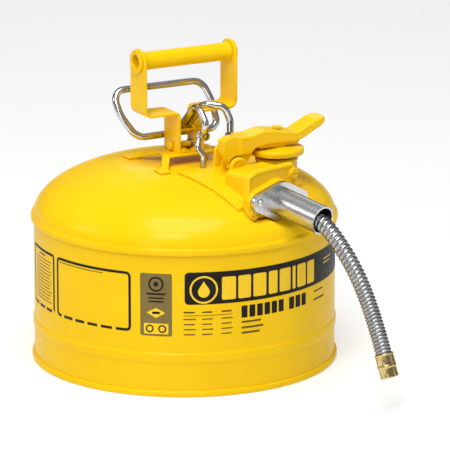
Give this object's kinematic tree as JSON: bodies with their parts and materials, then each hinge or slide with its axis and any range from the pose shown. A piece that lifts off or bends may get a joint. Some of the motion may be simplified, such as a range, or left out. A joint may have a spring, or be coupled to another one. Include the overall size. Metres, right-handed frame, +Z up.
{
  "type": "safety gas can",
  "caption": "Round steel fuel can with domed top, carrying handle with squeeze trigger, spring-closed fill lid and a flexible metal pouring hose.",
  "frame": {"origin": "centre of the can's base, on the floor", "axes": "+Z up, +X along the grip towards the lid's thumb tab, -Y towards the side that the hose leaves from"},
  "size_m": [0.2984, 0.4196, 0.31],
  "materials": {
    "yellow_paint": "gloss",
    "chrome_wire": "polished",
    "plated_steel": "satin",
    "spring_steel": "satin",
    "zinc_plate": "brushed",
    "galvanized_hose": "satin",
    "brass_tip": "polished",
    "black_rubber": "matte"
  },
  "bodies": {
    "can": {"body_shell": "yellow_paint", "bottom_panel": "yellow_paint", "dome_top": "yellow_paint", "handle_bracket": "yellow_paint", "handle_strap_left": "yellow_paint", "handle_strap_right": "yellow_paint", "grip_tube": "yellow_paint", "bracket_rivets": "yellow_paint", "trigger_pivot_pin": "plated_steel", "trigger_spring": "spring_steel", "manifold_gasket": "black_rubber", "manifold_casting": "yellow_paint", "front_cover": "yellow_paint", "cover_screws": "yellow_paint", "pour_valve_body": "plated_steel", "pour_valve_spring": "spring_steel", "vent_spring": "spring_steel", "lid_hinge_pin": "yellow_paint", "lid_spring": "yellow_paint", "flame_arrester": "plated_steel", "spout_gasket": "black_rubber", "spout_tube": "zinc_plate", "spout_screws": "zinc_plate", "hose_collar": "zinc_plate", "hose": "galvanized_hose", "brass_nozzle": "brass_tip"},
    "trigger": {"trigger_yoke": "yellow_paint", "trigger_wire": "chrome_wire"},
    "pour_valve": {"pour_valve_stem": "plated_steel", "pour_valve_link": "chrome_wire", "pour_valve_disc": "plated_steel", "pour_valve_seal": "black_rubber"},
    "vent_valve": {"vent_plunger": "plated_steel", "vent_valve_disc": "plated_steel"},
    "lid": {"lid_lever": "yellow_paint", "lid_disc": "yellow_paint", "lid_stud": "yellow_paint", "lid_gasket": "black_rubber"}
  },
  "joints": [
    {"name": "trigger_hinge", "type": "hinge", "parent": "can", "child": "trigger", "pos_m": [0, 0, 0.211], "axis": [1, 0, 0], "range_deg": [0, 9], "stiffness_Nm_per_rad": 0.5, "springref_deg": -17.19},
    {"name": "pour_valve_slide", "type": "slide", "parent": "can", "child": "pour_valve", "axis": [0, 0, -1], "range_m": [0, 0.0078], "stiffness_N_per_m": 150, "springref_m": -0.01, "deforming": ["pour_valve_spring"]},
    {"name": "vent_valve_slide", "type": "slide", "parent": "can", "child": "vent_valve", "axis": [0, 0, -1], "range_m": [0, 0.0075], "stiffness_N_per_m": 100, "springref_m": -0.01, "deforming": ["vent_spring"]},
    {"name": "lid_hinge", "type": "hinge", "parent": "can", "child": "lid", "pos_m": [0.0171, 0, 0.2032], "axis": [0, -1, 0], "range_deg": [0, 40], "stiffness_Nm_per_rad": 0.3, "springref_deg": -28.65}
  ],
  "couplings": [
    {"joint": "pour_valve_slide", "follows": "trigger_hinge", "m_per_rad": 0.0487},
    {"joint": "vent_valve_slide", "follows": "trigger_hinge", "m_per_rad": 0.046}
  ]
}
